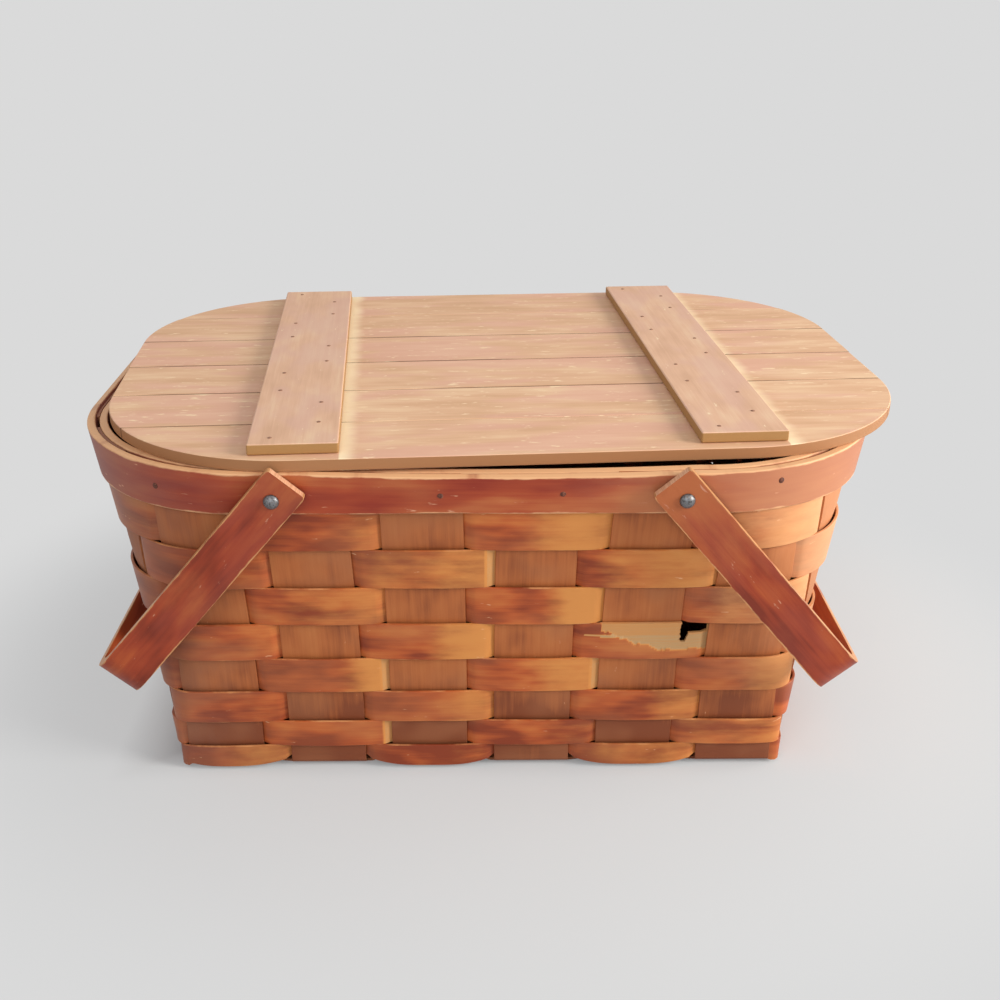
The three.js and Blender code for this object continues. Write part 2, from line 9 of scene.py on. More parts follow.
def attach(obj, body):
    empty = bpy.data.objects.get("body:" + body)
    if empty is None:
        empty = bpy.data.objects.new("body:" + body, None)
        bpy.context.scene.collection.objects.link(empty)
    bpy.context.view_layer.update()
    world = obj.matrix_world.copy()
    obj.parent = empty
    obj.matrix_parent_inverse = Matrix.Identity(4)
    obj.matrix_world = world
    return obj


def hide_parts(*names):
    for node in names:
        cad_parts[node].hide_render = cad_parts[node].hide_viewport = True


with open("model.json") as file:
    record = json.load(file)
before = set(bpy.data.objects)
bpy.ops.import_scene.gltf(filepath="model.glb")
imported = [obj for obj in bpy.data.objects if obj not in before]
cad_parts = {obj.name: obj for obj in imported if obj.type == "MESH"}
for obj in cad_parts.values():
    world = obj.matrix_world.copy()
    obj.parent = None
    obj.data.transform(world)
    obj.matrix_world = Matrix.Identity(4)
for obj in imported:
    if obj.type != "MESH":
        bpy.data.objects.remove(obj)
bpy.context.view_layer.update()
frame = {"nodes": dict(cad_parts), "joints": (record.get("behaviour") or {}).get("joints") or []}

# An old picnic basket of stained ash splints with a loose plank lid.
# Sizes are millimetres in here; finishPiece brings each mesh to metres.

print("frame loaded:", len(frame["nodes"]), "nodes")

quarter = math.pi / 2
toMetres, toMillimetres = 0.001, 1000


def mix(a, b, share):
    return a + (b - a) * share


def limited(value, low=0.0, high=1.0):
    return max(low, min(high, value))


def within(value, limits):
    return limits[0] < value < limits[1]


def hexColour(code):
    # sRGB hex to linear
    parts = [int(code[i:i + 2], 16) / 255 for i in (0, 2, 4)]
    return [p / 12.92 if p <= 0.04045 else ((p + 0.055) / 1.055) ** 2.4 for p in parts] + [1]


def addNode(tree, kind, values=None, stops=None, **settings):
    # one node with its settings, its values and its links
    node = tree.nodes.new("ShaderNode" + kind)
    for name, value in settings.items():
        setattr(node, name, value)
    for key, value in (values or {}).items():
        if isinstance(value, bpy.types.NodeSocket):
            tree.links.new(value, node.inputs[key])
        else:
            node.inputs[key].default_value = value
    if stops:
        while len(node.color_ramp.elements) < len(stops):
            node.color_ramp.elements.new(1)
        for element, (place, colour) in zip(node.color_ramp.elements, stops):
            element.position, element.color = place, hexColour(colour)
    return node


def addObject(name, data):
    made = bpy.data.objects.new(name, data)
    bpy.context.scene.collection.objects.link(made)
    return made


def meshOf(made, name):
    mesh = bpy.data.meshes.new(name)
    made.to_mesh(mesh)
    made.free()
    return mesh


def drift(x, y, length, layer):
    # a slow wander, as handwork has
    return noise.noise(Vector((x / length, y / length, layer)))


def emptyTree(owner):
    # the cleared nodes of a material or of the world
    owner.use_nodes = True
    owner.node_tree.nodes.clear()
    return owner.node_tree


# The wood finishes. "tones" runs from the dark to the light of the stain, "spread" says how far
# apart they lie, and "streaks" what grain, fine grain and patches add to them. "bare" is the wood
# under the stain, "edge" a rubbed edge, "side" a cut side and "tint" a faint stain in large clouds.
# The right end is lightened, partly sun-faded and mostly painted light from the right, and the left end is
# greyed with painted shade. "rough" is for the stained and for the bare surface. Patterns are mm along and
# across the grain; "bump" and places along the basket are metres.

woodLooks = {
    # sliced ash, red stain under old varnish: satin; the crowns are honey, partly rubbed to the bare wood
    # and partly a painted sheen of the light from the right
    "stainedAshWeaver": {
        "tones": ["85391f", "b0552a", "c4723a"], "spread": 1.2, "streaks": (0.2, 0.1, 1.0),
        "bare": "ca8646", "edge": "c98a58", "side": "bd8350", "split": "b89468",
        "tint": ("a0623e", 0.35), "fadedAndLit": ("dea87a", 0.8, 0.14, 0.27), "paintedLeftShade": ("80594a", 0.6),
        "cloud": (90, 30), "patch": (40, 14), "grain": (60, 1.8), "fine": (20, 0.6),
        "edgeWidth": 0.9, "edgeFrom": (1.0, 1.9), "scuff": 0.69, "scuffColour": "d9a880",
        "rough": (0.45, 0.62), "bump": 0.00015,
    },
    # sliced ash, brown stain, no varnish left: dull, with a faint up-and-down grain
    "stainedAshStake": {
        "tones": ["7c4126", "a86034", "b87240"], "spread": 1.8, "streaks": (0.35, 0.15, 0.8),
        "bare": "a96c40", "edge": "b5784a", "side": "8f5a36",
        "tint": ("99603f", 0.5), "fadedAndLit": ("c98c60", 0.7, 0.16, 0.27), "paintedLeftShade": ("80594a", 0.6),
        "cloud": (70, 60), "patch": (50, 26), "grain": (90, 2.6), "fine": (26, 0.8),
        "edgeWidth": 0.5, "edgeFrom": (1.0, 1.9), "scuff": 0.72, "scuffColour": "c99570",
        "rough": (0.6, 0.72), "bump": 0.00012,
    },
    # thick bent splint, red stain: satin, pale along the top edge
    "stainedRimWood": {
        "tones": ["8a301f", "a04427", "b5683c"], "spread": 1.2, "streaks": (0.2, 0.1, 1.0),
        "bare": "c98a5c", "edge": "dca97c", "side": "d3a27a",
        "tint": ("b06a40", 0.6), "fadedAndLit": ("b57e5e", 0.75, 0.06, 0.24), "paintedLeftShade": ("845850", 0.6),
        "cloud": (110, 60), "patch": (60, 20), "grain": (80, 2.6), "fine": (30, 0.7),
        "edgeWidth": 1.3, "edgeFrom": (0.3, 1.3), "scuff": 0.68, "scuffColour": "cb9576",
        "rough": (0.5, 0.62), "bump": 0.00012,
    },
    # bent ash strip, dark red stain worn by hands: soft sheen, pale edges
    "stainedHandleWood": {
        "tones": ["702816", "92391f", "a84f27"], "spread": 1.3, "streaks": (0.25, 0.1, 0.95),
        "bare": "a65c35", "edge": "c08a5c", "side": "9c6040", "split": "e0ac88",
        "tint": ("8c4034", 0.4),
        "cloud": (90, 30), "patch": (50, 14), "grain": (70, 2.0), "fine": (20, 0.6),
        "edgeWidth": 0.9, "edgeFrom": (0.5, 1.3), "scuff": 0.68, "scuffColour": "b87f66",
        "rough": (0.45, 0.58), "bump": 0.00012,
    },
    # sawn pine boards, worn dry: matt, tan with a faint pink stain
    "wornLidPine": {
        "tones": ["d0a580", "dbb08d", "e7c49f"], "spread": 1.2, "streaks": (0.35, 0.2, 0.75),
        # the sawn sides are darkened with painted shade
        "bare": "f0cfa4", "edge": "d9ac85", "side": "a0704a", "seam": "5c3b22",
        "tint": ("dba793", 0.6), "paintedBounceBands": ((-101.75, 7), (152.25, 8)), "paintedBounceColour": "f8e2bc",
        "cloud": (100, 26), "patch": (60, 16), "grain": (80, 3.2), "fine": (26, 0.9),
        "edgeWidth": 0.5, "edgeFrom": (1.0, 1.9), "scuff": 0.62, "scuffColour": "f0d3ae",
        "rough": (0.62, 0.75), "bump": 0.0001,
    },
    # sawn pine, greyed and handled: matt grey tan with a mauve cast
    "wornBattenPine": {
        "tones": ["cfa587", "dab092", "e2c0a0"], "spread": 1.2, "streaks": (0.35, 0.2, 0.75),
        "bare": "dcbc9e", "edge": "dcb993", "side": "a67c4c",
        "tint": ("d2a898", 0.5),
        "cloud": (60, 30), "patch": (50, 18), "grain": (80, 3.0), "fine": (30, 0.9),
        "edgeWidth": 0.9, "edgeFrom": (1.0, 1.9), "scuff": 0.68, "scuffColour": "ead0b0",
        "rough": (0.64, 0.76), "bump": 0.0001,
    },
}

# What the woods have in common. Patterns are mm along and across the grain, then detail and
# roughness. A pair is where a layer begins and where it is full, and a third value how much it
# covers. The others are what one pattern adds to another.

woodWear = {
    "ragged": (22, 7, 4.0, 0.6), "scuffs": (13, 3, 3.0, 0.6), "blotches": (90, 90, 1.0),
    "middleTone": 0.65, "darkStep": 0.15, "lightStep": 0.17, "shade": 0.4,
    "tint": (0.44, 0.62), "scuffStep": 0.08,
    "rub": (0.85, 1.75), "rubRagged": 0.7, "rubGrain": 0.2, "rubPatch": 0.4,
    "bandEdge": 0.5, "bandCloud": 1.2, "bandRagged": 0.7, "bandFray": (0.7, 0.8),
    "endRagged": 0.05, "endRise": 0.12, "fadedLitHeights": (0.03, 0.13), "paintedLeftShade": (0.16, 0.26),
    "edgeRagged": 3.2, "edgeGrain": 0.6, "seamWidth": (1.2, 0.5), "seamDarkening": (0.46, 0.62, 0.7),
    "fibres": (0.4, 0.6, 0.35), "torn": (1.3, 1.7), "fineBump": 0.5,
    # cut sides are mapped 200 mm out from the grain and the sides in a seam 400 mm
    "sideOut": 200, "side": (-20, -40), "seamOut": 400, "seam": (-250, -260),
}


def woodFinish(name):
    look, wear = woodLooks[name], woodWear
    material = bpy.data.materials.new(name)
    tree = emptyTree(material)
    grainMap = addNode(tree, "UVMap", uv_map="splintMap")
    mapped = addNode(tree, "SeparateXYZ", {0: grainMap.outputs[0]})
    along, across = mapped.outputs["X"], mapped.outputs["Y"]
    seed, crown, half, shade = [
        addNode(tree, "Attribute", attribute_name=key).outputs["Fac"]
        for key in ("seed", "crown", "halfWidth", "shade")]
    spot = addNode(tree, "CombineXYZ", {"X": along, "Y": across, "Z": seed})

    def pattern(long, wide, detail=3.0, roughness=0.55):
        # noise drawn out along the grain
        scaled = addNode(tree, "VectorMath", {0: spot.outputs[0], 1: (1 / long, 1 / wide, 1)},
                         operation="MULTIPLY")
        made = addNode(tree, "TexNoise", {
            "Vector": scaled.outputs[0], "Scale": 1.0, "Detail": detail, "Roughness": roughness})
        return made.outputs["Fac"]

    def weigh(*pairs):
        # adds values, each times its weight
        total = 0.0
        for value, weight in pairs:
            total = addNode(tree, "Math", {0: value, 1: weight, 2: total},
                            operation="MULTIPLY_ADD").outputs[0]
        return total

    def lay(under, over, *masks):
        # lays one colour over another where every mask lets it: a mask is a value, where it
        # begins, where it is full and, if that isn't all, how much it covers
        share = 1.0
        for value, begins, full, *most in masks:
            mask = addNode(tree, "MapRange", {
                "Value": value, "From Min": begins, "From Max": full, "To Max": most[0] if most else 1.0},
                interpolation_type="SMOOTHSTEP")
            share = addNode(tree, "Math", {0: share, 1: mask.outputs["Result"]},
                            operation="MULTIPLY").outputs[0]
        under, over = [hexColour(c) if isinstance(c, str) else c for c in (under, over)]
        laid = addNode(tree, "Mix", {"Factor": share, "A": under, "B": over}, data_type="RGBA")
        return laid.outputs["Result"]

    ragged, grain = pattern(*wear["ragged"]), pattern(*look["grain"])
    fine, patch, cloud = [pattern(*look[key], detail=2.0) for key in ("fine", "patch", "cloud")]
    grainShare, fineShare, patchShare = look["streaks"]
    streak = weigh((grain, grainShare), (fine, fineShare), (patch, patchShare), (shade, wear["shade"]))
    dark, middle, light = look["tones"]
    colour = addNode(tree, "ValToRGB", {0: streak}, stops=[
        (wear["middleTone"] - wear["darkStep"] * look["spread"], dark), (wear["middleTone"], middle),
        (wear["middleTone"] + wear["lightStep"] * look["spread"], light)]).outputs[0]
    tintColour, tintShare = look["tint"]
    colour = lay(colour, tintColour, (cloud, *wear["tint"], tintShare))

    # rubbed towards bare wood where "crown" says so, in ragged patches along the grain; on the weavers'
    # crowns this is partly a painted sheen of the light from the right
    rub = weigh((crown, 1.0), (ragged, wear["rubRagged"]), (grain, wear["rubGrain"]),
                (patch, wear["rubPatch"]))
    colour = lay(colour, look["bare"], (rub, *wear["rub"]))

    for start, width in look.get("paintedBounceBands", ()):  # painted light, bounced off the battens' right sides onto the boards beside them
        frayed = weigh((cloud, wear["bandCloud"] * width), (ragged, wear["bandRagged"] * width),
                       (along, -1.0))
        near, far = wear["bandFray"]
        colour = lay(colour, look["paintedBounceColour"],
                     (along, start - wear["bandEdge"], start + wear["bandEdge"]),
                     (frayed, -start - near * width, -start + far * width))

    # the right end lightened, partly sun-faded and mostly painted light from the right; the left end greyed
    # with painted shade
    if "fadedAndLit" in look:
        place = addNode(tree, "TexCoord").outputs["Object"]
        spotInRoom = addNode(tree, "SeparateXYZ", {0: place})
        x, z = spotInRoom.outputs["X"], spotInRoom.outputs["Z"]
        fadedLitColour, fadedLitShare, *fadedLitFrom = look["fadedAndLit"]
        rightEnd = weigh((x, 1.0), (ragged, wear["endRagged"]), (z, wear["endRise"]))
        colour = lay(colour, fadedLitColour, (rightEnd, *fadedLitFrom, fadedLitShare), (z, *wear["fadedLitHeights"]))
        leftShadeColour, leftShadeShare = look["paintedLeftShade"]
        leftEnd = weigh((x, -1.0), (ragged, wear["endRagged"]))
        colour = lay(colour, leftShadeColour, (leftEnd, *wear["paintedLeftShade"], leftShadeShare))

    scuffs = pattern(*wear["scuffs"])
    colour = lay(colour, look["scuffColour"], (scuffs, look["scuff"], look["scuff"] + wear["scuffStep"]))

    # worn edges come and go along the splint
    aside = addNode(tree, "Math", {0: across}, operation="ABSOLUTE").outputs[0]
    fromEdge = addNode(tree, "Math", {0: half, 1: aside}, operation="SUBTRACT").outputs[0]
    edge = weigh((ragged, wear["edgeRagged"] * look["edgeWidth"]), (fromEdge, -1.0),
                 (grain, -wear["edgeGrain"]))
    colour = lay(colour, look["edge"], (edge, *[level * look["edgeWidth"] for level in look["edgeFrom"]]))
    # darker along each seam, more at some seams than at others; the sides inside a seam take the dark seam
    # tone, painted shade in the gaps between the boards
    if "seam" in look:
        seamDarkness = weigh((pattern(*wear["blotches"]), 1.0), (shade, 1.0))
        colour = lay(colour, look["seam"], (fromEdge, *wear["seamWidth"]), (seamDarkness, *wear["seamDarkening"]))
    colour = lay(colour, look["side"], (fromEdge, *wear["side"]))
    if "seam" in look:
        colour = lay(colour, look["seam"], (fromEdge, *wear["seam"]))
    if "split" in look:
        fibres = lay(look["split"], look["bare"], (fine, *wear["fibres"]))
        colour = lay(colour, fibres, (crown, *wear["torn"]))

    rough = addNode(tree, "MapRange", {
        "Value": rub, "From Min": wear["rub"][0], "From Max": wear["rub"][1],
        "To Min": look["rough"][0], "To Max": look["rough"][1]}, interpolation_type="SMOOTHSTEP")
    height = weigh((fine, wear["fineBump"]), (grain, 1.0))
    bump = addNode(tree, "Bump", {"Height": height, "Distance": look["bump"], "Strength": 0.6})
    shader = addNode(tree, "BsdfPrincipled", {
        "Base Color": colour, "Roughness": rough.outputs["Result"], "Normal": bump.outputs[0],
        "IOR": 1.45, "Specular IOR Level": 0.35})
    addNode(tree, "OutputMaterial", {0: shader.outputs[0]})
    return material


# Steel: a dull gleam on the rivets, rust and dirt over the nails

steelLooks = {
    # mild steel, headed cold and left to darken: blue grey with brown in it
    "oxidisedSteel": {
        "tones": [(0.35, "5a5654"), (0.55, "84868a"), (0.7, "7b6e66")], "metal": 0.85, "rough": (0.35, 0.6),
    },
    # cut wire nails, rusted and sunk in the wood: matt brown, no gleam
    "rustedNailSteel": {
        "tones": [(0.35, "4a2418"), (0.55, "663626"), (0.7, "80503c")], "metal": 0, "rough": (0.7, 0.85),
    },
    # the same nails rubbed over with the batten: dull brown, nearly the wood's tone
    "dustyNailSteel": {
        "tones": [(0.35, "7c5844"), (0.55, "946c56"), (0.7, "a68068")], "metal": 0, "rough": (0.75, 0.85),
    },
}


def steelFinish(name):
    look = steelLooks[name]
    material = bpy.data.materials.new(name)
    tree = emptyTree(material)
    place = addNode(tree, "TexCoord").outputs["Object"]
    # spots of rust about 1 mm across
    rust = addNode(tree, "TexNoise", {"Vector": place, "Scale": 900.0, "Detail": 3.0}).outputs["Fac"]
    tone = addNode(tree, "ValToRGB", {0: rust}, stops=look["tones"])
    rough = addNode(tree, "MapRange", {
        "Value": rust, "To Min": look["rough"][0], "To Max": look["rough"][1]})
    bump = addNode(tree, "Bump", {"Height": rust, "Distance": 0.0001, "Strength": 0.5})
    shader = addNode(tree, "BsdfPrincipled", {
        "Base Color": tone.outputs[0], "Roughness": rough.outputs["Result"], "Normal": bump.outputs[0],
        "Metallic": look["metal"]})
    addNode(tree, "OutputMaterial", {0: shader.outputs[0]})
    return material


finishes = {name: woodFinish(name) for name in woodLooks}
finishes.update({name: steelFinish(name) for name in steelLooks})
print("finishes made:", len(finishes))


# The wall: a rounded rectangle at each height, walked by distance from the middle of the front
# towards +X, with the same values as the solids. Pairs are along X and along Y, but "radius" is
# at the foot and at the rim.

wall = {
    "foot": 8, "rimLow": 188, "rimTop": 214, "middleX": -9.13508,
    "footHalf": (188.5, 154.5), "rimHalf": (236.8, 180.8), "radius": (5, 111.8), "flare": (1.5, 1.2),
    "stakes": (6, 5), "pitch": (64, 63), "stakeHalf": 23.5,
    "rowEdges": [8, 18, 37, 60, 84.5, 110, 136, 162, 188],
    "sag": 2.3, "sagHalf": 112,
}
rows = len(wall["rowEdges"]) - 1
crossCount, longCount = wall["stakes"]
halfStakes = crossCount + longCount  # stakes are numbered from the left end of the front
allStakes = 2 * halfStakes


def levelAt(height):
    # the outline at a height; halfRound is half of the way round it
    rise = limited((height - wall["foot"]) / (wall["rimTop"] - wall["foot"]))
    endShare, sideShare = rise ** wall["flare"][0], rise ** wall["flare"][1]
    halfX = mix(wall["footHalf"][0], wall["rimHalf"][0], endShare)
    halfY = mix(wall["footHalf"][1], wall["rimHalf"][1], sideShare)
    radius = mix(*wall["radius"], endShare)
    runX, runY, corner = 2 * (halfX - radius), 2 * (halfY - radius), quarter * radius
    return {"rise": rise, "halfX": halfX, "halfY": halfY, "radius": radius, "runX": runX, "runY": runY,
            "corner": corner, "halfRound": runX + runY + 2 * corner}


def outlineAt(level, distance):
    # the point at a distance along the outline, and the way outwards there
    radius, runX, runY, corner = level["radius"], level["runX"], level["runY"], level["corner"]
    turn, run = divmod(distance + runX / 2, level["halfRound"])
    side = 1 if turn % 2 == 0 else -1
    if run <= runX:
        x, y, angle = run - runX / 2, -level["halfY"], -quarter
    elif run <= runX + corner:
        angle = -quarter + (run - runX) / radius
        x = level["halfX"] - radius + radius * math.cos(angle)
        y = radius - level["halfY"] + radius * math.sin(angle)
    elif run <= runX + corner + runY:
        x, y, angle = level["halfX"], run - runX - corner - runY / 2, 0
    else:
        angle = (run - runX - corner - runY) / radius
        x = level["halfX"] - radius + radius * math.cos(angle)
        y = level["halfY"] - radius + radius * math.sin(angle)
    return Vector((side * x, side * y)), Vector((side * math.cos(angle), side * math.sin(angle)))


def stakeDistance(level, number):
    # at its own wall's pitch by the foot, evenly spaced all round by the rim
    turn, local = divmod(number, halfStakes)
    even = level["halfRound"] / halfStakes
    if local < crossCount:
        step = local - (crossCount - 1) / 2
        return turn * level["halfRound"] + step * mix(wall["pitch"][0], even, level["rise"])
    step = local - crossCount - (longCount - 1) / 2
    return (turn + 0.5) * level["halfRound"] + step * mix(wall["pitch"][1], even, level["rise"])


def wallPoint(level, distance, offset, height):
    point, outward = outlineAt(level, distance)
    point = point + outward * offset
    return Vector((point.x + wall["middleX"], point.y, height))


def rimSag(point):
    # the rim sags a little at the front and shows a dark slit under the lid
    away = point.x / wall["sagHalf"]
    return wall["sag"] * limited(1 - away ** 2) if point.y < 0 else 0


# For every piece: how far the noise of one seed lies from the next, the angle from which an edge
# is eased, and the welding of a closed strip's ends

making = {"seedStep": 7.3, "sharp": 50, "weld": 0.01}


def newStrip(long, wide):
    # a flat strip of unit size, from 0 to 1 both ways
    strip = bmesh.new()
    bmesh.ops.create_grid(strip, x_segments=long, y_segments=wide, size=0.5)
    bmesh.ops.translate(strip, verts=strip.verts, vec=(0.5, 0.5, 0))
    return strip


def bendStrip(strip, place, length, width, closed=False):
    # writes the grain map in mm along and across the strip, then bends it into place
    grainMap = strip.loops.layers.uv.new("splintMap")
    crown = strip.verts.layers.float.new("crown")
    shade = strip.verts.layers.float.new("shade")
    for face in strip.faces:
        for corner in face.loops:
            corner[grainMap].uv = (corner.vert.co.x * length, (corner.vert.co.y - 0.5) * width)
    for vert in strip.verts:
        vert.co, vert[crown], vert[shade] = place(vert.co.x, vert.co.y)
    if closed:
        bmesh.ops.remove_doubles(strip, verts=strip.verts, dist=making["weld"])
    bmesh.ops.recalc_face_normals(strip, faces=strip.faces)


def finishPiece(made, name, body, finish, nodes, seed=0, halfWidth=0, thick=0, ease=0, segments=2):
    bmesh.ops.scale(made, vec=(toMetres, toMetres, toMetres), verts=made.verts)
    for face in made.faces:
        face.smooth = True
    mesh = meshOf(made, name)
    for key, value in (("seed", seed * making["seedStep"]), ("halfWidth", halfWidth)):
        store = mesh.attributes.new(key, "FLOAT", "POINT")
        store.data.foreach_set("value", [value] * len(mesh.vertices))
    piece = addObject(name, mesh)
    mesh.materials.append(finishes[finish])
    if thick:
        wallOf = piece.modifiers.new("thickness", "SOLIDIFY")
        wallOf.thickness, wallOf.offset, wallOf.use_even_offset = thick * toMetres, 0, True
    if ease:
        eased = piece.modifiers.new("eased edges", "BEVEL")
        eased.width, eased.segments, eased.limit_method = ease * toMetres, segments, "ANGLE"
        eased.angle_limit, eased.harden_normals = math.radians(making["sharp"]), True
    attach(piece, body)
    if nodes:
        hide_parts(*nodes)


# Weavers: over one stake and under the next. A crown is where a weaver passes over a stake.
# "rubbed" says how far those of the front are rubbed, judged, for each weaver from the top; the others are
# rubbed by chance. The honey on a crown is partly rubbed wood and partly a painted sheen of the light from
# the right. The crowns whose right ends carry a painted highlight are named by weaver and stake.

weaver = {
    "thick": 1.6, "ease": 0.35, "perStake": 32, "wide": 6, "joint": 13,
    # how far it stands out as it clears a stake, how much more on a crown and behind a stake, how
    # flat those are, and the length of its turn from one side to the other
    "clear": 1.35, "crown": 1.7, "inner": 0.7, "flatness": 3, "turn": 5.5,
    "wobble": 0.4, "driftLength": 31, "driftStep": 3.1,
    "droop": 5.5, "droopOut": 0.4, "droopSwell": 0.6,
    "corners": (5, 10), "cornerHalf": 0.18, "cornerRise": 0.12,  # the gaps at the basket's corners
    "rubbed": [(0.5, 0.9, 0.8), (0.3, 0.75, 0.85), (0.6, 1.3, 0.8), (0.35, 0.95, 0.4),
               (0.95, 0.85, 0.8), (0.3, 0.7, 0.65), (0.25, 0.35, 0.6), (0.6, 0.3, 0.7)],
    "otherRubAndSheen": 0.15, "rubAndSheenRange": 0.8, "rubAndSheenStart": -20, "rubAndSheenShift": 30, "rubAndSheenLead": 8, "rubAndSheenRise": 30,
    "rubAndSheenFall": 0.25, "paintedHighlightEnd": 1.5, "paintedHighlightEnds": ((2, 2), (5, 1), (5, 3), (7, 1)),
    "rowShade": [0.14, 0.02, 0.0, 0.03, 0.0, -0.03, -0.2, -0.32], "shadeRange": 0.16,
    "draws": {"rub": 3, "start": 7, "shade": 11},
}

# The tear in the fourth weaver: a hole between two stakes and the layer split off beside it.
# Places along it are counted in stakes, heights in shares of the splint's width. "jags" are the
# ragged edge of the split: how high, how often in a stake's length, and the noise that each reads.

tear = {
    "row": 4, "cuts": 3, "depth": 0.75, "fresh": 2, "freshTo": 0.66, "older": 1.5,
    "from": 3.62, "to": 4.66, "split": (0.85, 0.24), "splitRun": 1.7, "splitCurve": 0.7,
    "jags": ((0.11, 9, 2), (0.03, 31, 5)),
    "hole": (4.365, 4.625), "holeLow": 0.46, "stepAt": 4.42, "stepRun": 0.12, "stepRise": 0.25,
    "ragged": 0.02, "raggedOften": 14,
    "sliver": (3.47, 3.9), "sliverLow": (0.66, 0.56), "sliverTop": 0.7,
}


def chance(draw, over, number):
    # a share from 0 to 1 for a crown, the same in every run
    return noise.cell(Vector((over, number, weaver["draws"][draw])))


def splitLine(share):
    # the lower edge of the split layer
    along = (share - tear["from"]) / (tear["to"] - tear["from"])
    if not 0 < along < 1:
        return math.inf
    jag = sum(high * noise.noise(Vector((share * often, kind, 0))) for high, often, kind in tear["jags"])
    return mix(*tear["split"], limited(along * tear["splitRun"]) ** tear["splitCurve"]) + jag


def inSliver(share, height):
    # a thin sliver has come off to the left of the split
    along = (share - tear["sliver"][0]) / (tear["sliver"][1] - tear["sliver"][0])
    low = mix(*tear["sliverLow"], along)
    return within(share, tear["sliver"]) and low < height < tear["sliverTop"]


def cutHole(strip, start):
    # finer faces round the tear, then those of the ragged hole go
    def shareOf(face):
        return face.calc_center_median().x * allStakes + start - allStakes

    near = {face for face in strip.faces if within(shareOf(face), (tear["sliver"][0], tear["to"]))}
    edges = [edge for edge in strip.edges if any(face in near for face in edge.link_faces)]
    bmesh.ops.subdivide_edges(strip, edges=edges, cuts=tear["cuts"], use_grid_fill=True)
    left, right = tear["hole"]
    holeFaces = []
    for face in strip.faces:
        share, height = shareOf(face), face.calc_center_median().y
        low = tear["holeLow"] + limited((share - tear["stepAt"]) / tear["stepRun"], 0, tear["stepRise"])
        ragged = tear["ragged"] * noise.noise(Vector((0, height * tear["raggedOften"], 1)))
        if within(share, (left + ragged, right + ragged)) and height > low + ragged:
            holeFaces.append(face)
    bmesh.ops.delete(strip, geom=holeFaces, context="FACES")


def weaverBend(level, number, share):
    # how far the weaver stands from the middle of the wall, how rubbed it is with its painted sheen, and
    # its tone
    passed, ahead = divmod(share, 1)
    pitch = stakeDistance(level, passed + 1) - stakeDistance(level, passed)
    reach, clear = wall["stakeHalf"], weaver["clear"]
    nearest, along = int(passed), ahead * pitch
    if along > pitch / 2:
        nearest, along = nearest + 1, along - pitch
    side = 1 if (number + nearest) % 2 == 0 else -1
    over, past = nearest, along  # the crown that this length of the weaver belongs to
    if side < 0:
        over, past = (nearest - 1, along + pitch) if along < 0 else (nearest + 1, along - pitch)
    over %= allStakes
    if over < crossCount:
        strength = weaver["rubbed"][number - 1][over // 2]
    else:
        strength = weaver["otherRubAndSheen"] + weaver["rubAndSheenRange"] * chance("rub", over, number)
    # the honey grows towards the right part of a crown: partly rubbed wood, partly a painted sheen of the
    # light from the right
    start = weaver["rubAndSheenStart"] + weaver["rubAndSheenShift"] * chance("start", over, number)
    rubbed = strength * limited((past - start + weaver["rubAndSheenLead"]) / weaver["rubAndSheenRise"])
    rubbed *= 1 - weaver["rubAndSheenFall"] * limited((reach - past) / reach)
    shade = weaver["rowShade"][number - 1] + weaver["shadeRange"] * (chance("shade", over, number) - 0.5)
    # it stays out across the gap and turns in sharply before the edge of the next stake
    free = pitch - reach - weaver["turn"]
    away = abs(past)
    if away <= free:
        return clear + weaver["crown"] * (1 - (away / free) ** weaver["flatness"]), rubbed, shade
    if away <= pitch - reach:
        turned = (away - free) / weaver["turn"]
        # a painted highlight on the right end of some crowns, where the light from the right falls on the
        # turn
        if past > 0 and (number, over) in weaver["paintedHighlightEnds"]:
            rubbed = weaver["paintedHighlightEnd"]
        return clear * math.cos(math.pi * turned), rubbed, shade
    return -clear - weaver["inner"] * (1 - abs(along / reach) ** weaver["flatness"]), rubbed, shade


def lowestDroop(offset, passed, ahead):
    # the lowest weaver hangs down over the bends of the stakes, and in the gaps at the corners
    out = limited((offset + weaver["clear"]) / (2 * weaver["clear"]))
    swell = limited((offset - weaver["clear"]) / weaver["crown"])
    hang = weaver["droopOut"] * out + weaver["droopSwell"] * swell
    if passed % halfStakes in weaver["corners"]:
        hang = max(hang, limited((weaver["cornerHalf"] - abs(ahead - 0.5)) / weaver["cornerRise"]))
    return weaver["droop"] * hang


